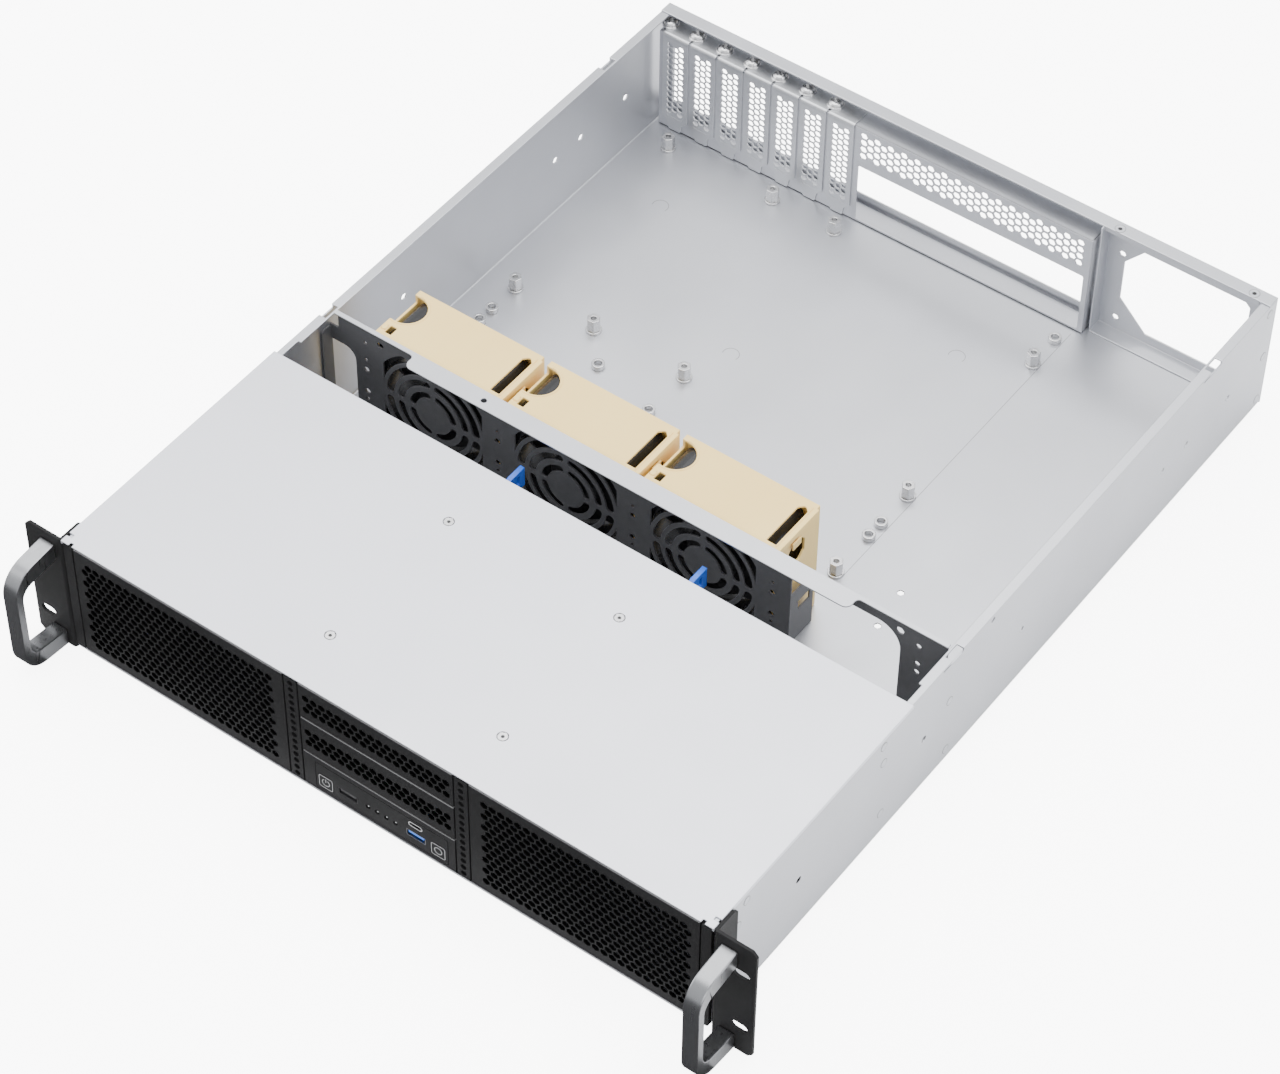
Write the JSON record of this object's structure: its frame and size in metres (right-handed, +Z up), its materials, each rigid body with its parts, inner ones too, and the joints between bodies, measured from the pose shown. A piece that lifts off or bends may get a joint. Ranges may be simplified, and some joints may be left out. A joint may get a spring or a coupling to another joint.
{
  "type": "empty rackmount server case",
  "caption": "Rackmount server case with its lid off: grey sheet tray, black front, handles on ears, fan wall and slot covers",
  "frame": {"origin": "middle of the overall box at its lowest point, which is the bottom edge of the rack ears; the tray underside is 4 mm higher", "axes": "+X towards the side with the power supply opening, +Y from the front panel to the rear wall, +Z up"},
  "size_m": [0.4826, 0.585, 0.089],
  "materials": {
    "case_steel": "smooth zinc coated sheet",
    "slot_cover_steel": "smooth bright sheet",
    "screw_steel": "bright plated",
    "black_front": "fine black powder coat",
    "charcoal_sheet": "dark satin coat",
    "handle_aluminium": "satin",
    "cream_moulding": "satin moulding",
    "black_moulding": "satin moulding",
    "blue_moulding": "satin moulding",
    "port_shell": "plated shell",
    "clear_pipe": "clear pipe",
    "green_board": "circuit board"
  },
  "bodies": {
    "case": {"base_tub": "case_steel", "front_cover": "case_steel", "wall_top_rail": "case_steel", "rear_wall": "case_steel", "io_slot_panel": "case_steel", "drive_cage": "case_steel", "bay_shelves": "case_steel", "slot_cover_1": "slot_cover_steel", "slot_cover_2": "slot_cover_steel", "slot_cover_3": "slot_cover_steel", "slot_cover_4": "slot_cover_steel", "slot_cover_5": "slot_cover_steel", "slot_cover_6": "slot_cover_steel", "slot_cover_7": "slot_cover_steel", "cover_screws": "screw_steel", "slot_screws": "screw_steel", "handle_screws": "screw_steel", "board_studs": "screw_steel", "floor_nuts": "screw_steel", "front_frame": "black_front", "grille_left": "black_front", "grille_right": "black_front", "bay_cover_upper": "black_front", "bay_cover_lower": "black_front", "control_panel": "black_front", "ear_left": "black_front", "ear_right": "black_front", "fan_wall": "charcoal_sheet", "fan_end_bracket": "charcoal_sheet", "handle_left": "handle_aluminium", "handle_right": "handle_aluminium", "usb_port": "port_shell", "usb3_port": "port_shell", "oval_port": "port_shell", "led_lenses": "clear_pipe", "control_board": "green_board"},
    "power_button": {"power_button": "black_moulding"},
    "reset_button": {"reset_button": "black_moulding"},
    "lever_left": {"lever_left": "blue_moulding"},
    "lever_right": {"lever_right": "blue_moulding"},
    "fan_module_1": {"fan_housing_1": "cream_moulding", "fan_frame_1": "black_moulding"},
    "fan_spin_1": {"fan_rotor_1": "black_moulding"},
    "fan_module_2": {"fan_housing_2": "cream_moulding", "fan_frame_2": "black_moulding"},
    "fan_spin_2": {"fan_rotor_2": "black_moulding"},
    "fan_module_3": {"fan_housing_3": "cream_moulding", "fan_frame_3": "black_moulding"},
    "fan_spin_3": {"fan_rotor_3": "black_moulding"}
  },
  "joints": [
    {"name": "power_button_press", "type": "slide", "parent": "case", "child": "power_button", "axis": [0, 1, 0], "range_m": [0, 0.001], "stiffness_N_per_m": 400, "springref_m": -0.0005},
    {"name": "reset_button_press", "type": "slide", "parent": "case", "child": "reset_button", "axis": [0, 1, 0], "range_m": [0, 0.001], "stiffness_N_per_m": 400, "springref_m": -0.0005},
    {"name": "fan_module_1_lift", "type": "slide", "parent": "case", "child": "fan_module_1", "axis": [0, 0, 1], "range_m": [0, 0.09]},
    {"name": "fan_1_turn", "type": "hinge", "parent": "fan_module_1", "child": "fan_spin_1", "pos_m": [-0.1392, -0.015, 0.0454], "axis": [0, 1, 0], "continuous": true},
    {"name": "fan_module_2_lift", "type": "slide", "parent": "case", "child": "fan_module_2", "axis": [0, 0, 1], "range_m": [0, 0.09]},
    {"name": "fan_2_turn", "type": "hinge", "parent": "fan_module_2", "child": "fan_spin_2", "pos_m": [-0.0454, -0.015, 0.0454], "axis": [0, 1, 0], "continuous": true},
    {"name": "fan_module_3_lift", "type": "slide", "parent": "case", "child": "fan_module_3", "axis": [0, 0, 1], "range_m": [0, 0.09]},
    {"name": "fan_3_turn", "type": "hinge", "parent": "fan_module_3", "child": "fan_spin_3", "pos_m": [0.0484, -0.015, 0.0454], "axis": [0, 1, 0], "continuous": true},
    {"name": "lever_left_tilt", "type": "hinge", "parent": "case", "child": "lever_left", "pos_m": [-0.062, -0.0735, 0.061], "axis": [1, 0, 0], "range_deg": [0, 20]},
    {"name": "lever_right_tilt", "type": "hinge", "parent": "case", "child": "lever_right", "pos_m": [0.062, -0.0735, 0.061], "axis": [1, 0, 0], "range_deg": [0, 20]}
  ]
}
